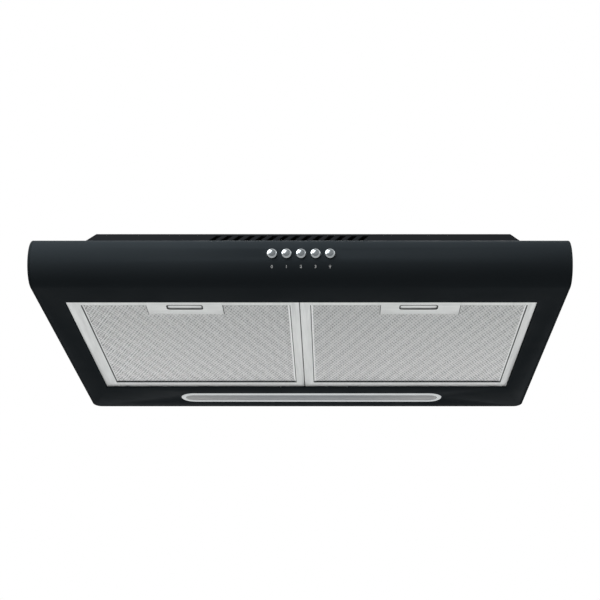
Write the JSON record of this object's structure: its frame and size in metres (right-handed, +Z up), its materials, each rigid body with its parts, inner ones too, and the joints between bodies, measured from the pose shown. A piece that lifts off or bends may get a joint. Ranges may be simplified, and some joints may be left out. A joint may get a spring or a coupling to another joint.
{
  "type": "under cabinet range hood",
  "caption": "Slim black under-cabinet range hood with a half-round front, push buttons, grease filters that swing down, a rear light bar and a centrifugal fan.",
  "frame": {"origin": "centre of the four cabinet screw holes, on the top face", "axes": "+X to the right seen from the front, +Y back to the wall, +Z up; the nose and its buttons face -Y"},
  "size_m": [0.6, 0.4887, 0.1515],
  "materials": {
    "black_paint": "satin",
    "end_plastic": "satin",
    "filter_metal": "satin",
    "latch_metal": "brushed",
    "bright_metal": "polished",
    "lens": "satin",
    "zinc": "satin",
    "dark_plastic": "matte",
    "grey_plastic": "matte",
    "fan_plastic": "matte",
    "motor_metal": "satin",
    "capacitor_shell": "gloss",
    "led_board": "gloss",
    "led": "gloss",
    "wire": "matte"
  },
  "bodies": {
    "hood": {"visor_shell": "black_paint", "left_end_cap": "end_plastic", "right_end_cap": "end_plastic", "deck_panel": "black_paint", "housing_front": "black_paint", "housing_cover": "black_paint", "back_panel": "black_paint", "shell_screws": "zinc", "lamp_rim": "bright_metal", "lamp_lens": "lens", "lamp_tray": "zinc", "led_board": "led_board", "led_chips": "led", "led_driver": "grey_plastic", "switch_bank": "dark_plastic", "switch_bracket": "zinc", "scroll_housing": "fan_plastic", "scroll_floor": "fan_plastic", "inlet_ring": "dark_plastic", "inlet_guard": "zinc", "fan_motor": "motor_metal", "motor_bearings": "bright_metal", "motor_screws": "zinc", "capacitor": "capacitor_shell", "outlet_box": "zinc", "duct_collar": "dark_plastic", "damper_pin": "zinc", "terminal_box": "grey_plastic", "terminal_lid": "grey_plastic", "cable_gland": "dark_plastic", "wiring_harness": "wire"},
    "button_off": {"button_off_cap": "bright_metal", "button_off_plunger": "dark_plastic"},
    "button_low": {"button_low_cap": "bright_metal", "button_low_plunger": "dark_plastic"},
    "button_medium": {"button_medium_cap": "bright_metal", "button_medium_plunger": "dark_plastic"},
    "button_high": {"button_high_cap": "bright_metal", "button_high_plunger": "dark_plastic"},
    "button_lamp": {"button_lamp_cap": "bright_metal", "button_lamp_plunger": "dark_plastic"},
    "left_filter": {"left_filter_frame": "filter_metal", "left_filter_mesh": "filter_metal", "left_filter_core": "filter_metal", "left_latch_plate": "filter_metal"},
    "left_latch": {"left_latch_slider": "latch_metal"},
    "left_damper": {"left_damper_flap": "grey_plastic"},
    "right_filter": {"right_filter_frame": "filter_metal", "right_filter_mesh": "filter_metal", "right_filter_core": "filter_metal", "right_latch_plate": "filter_metal"},
    "right_latch": {"right_latch_slider": "latch_metal"},
    "right_damper": {"right_damper_flap": "grey_plastic"},
    "fan_rotor": {"impeller": "fan_plastic", "impeller_nut": "zinc", "motor_shaft": "zinc"},
    "shutter": {"vent_shutter": "dark_plastic"}
  },
  "joints": [
    {"name": "off_button_push", "type": "slide", "parent": "hood", "child": "button_off", "axis": [0, 1, 0], "range_m": [0, 0.0035], "stiffness_N_per_m": 300},
    {"name": "low_button_push", "type": "slide", "parent": "hood", "child": "button_low", "axis": [0, 1, 0], "range_m": [0, 0.0035], "stiffness_N_per_m": 300},
    {"name": "medium_button_push", "type": "slide", "parent": "hood", "child": "button_medium", "axis": [0, 1, 0], "range_m": [0, 0.0035], "stiffness_N_per_m": 300},
    {"name": "high_button_push", "type": "slide", "parent": "hood", "child": "button_high", "axis": [0, 1, 0], "range_m": [0, 0.0035], "stiffness_N_per_m": 300},
    {"name": "lamp_button_push", "type": "slide", "parent": "hood", "child": "button_lamp", "axis": [0, 1, 0], "range_m": [0, 0.0035], "stiffness_N_per_m": 300},
    {"name": "left_filter_swing", "type": "hinge", "parent": "hood", "child": "left_filter", "pos_m": [0, 0.098, -0.113], "axis": [1, 0, 0], "range_deg": [0, 65]},
    {"name": "left_latch_slide", "type": "slide", "parent": "left_filter", "child": "left_latch", "axis": [0, 1, 0], "range_m": [0, 0.0045], "stiffness_N_per_m": 250},
    {"name": "right_filter_swing", "type": "hinge", "parent": "hood", "child": "right_filter", "pos_m": [0, 0.098, -0.113], "axis": [1, 0, 0], "range_deg": [0, 65]},
    {"name": "right_latch_slide", "type": "slide", "parent": "right_filter", "child": "right_latch", "axis": [0, 1, 0], "range_m": [0, 0.0045], "stiffness_N_per_m": 250},
    {"name": "fan_spin", "type": "hinge", "parent": "hood", "child": "fan_rotor", "pos_m": [0.15, -0.05, -0.055], "axis": [0, 0, 1], "continuous": true},
    {"name": "left_damper_swing", "type": "hinge", "parent": "hood", "child": "left_damper", "pos_m": [0, 0.035, -0.004], "axis": [0, 1, 0], "range_deg": [0, 78]},
    {"name": "right_damper_swing", "type": "hinge", "parent": "hood", "child": "right_damper", "pos_m": [0, 0.035, -0.004], "axis": [0, -1, 0], "range_deg": [0, 78]},
    {"name": "shutter_slide", "type": "slide", "parent": "hood", "child": "shutter", "axis": [1, 0, 0], "range_m": [0, 0.0068]}
  ]
}
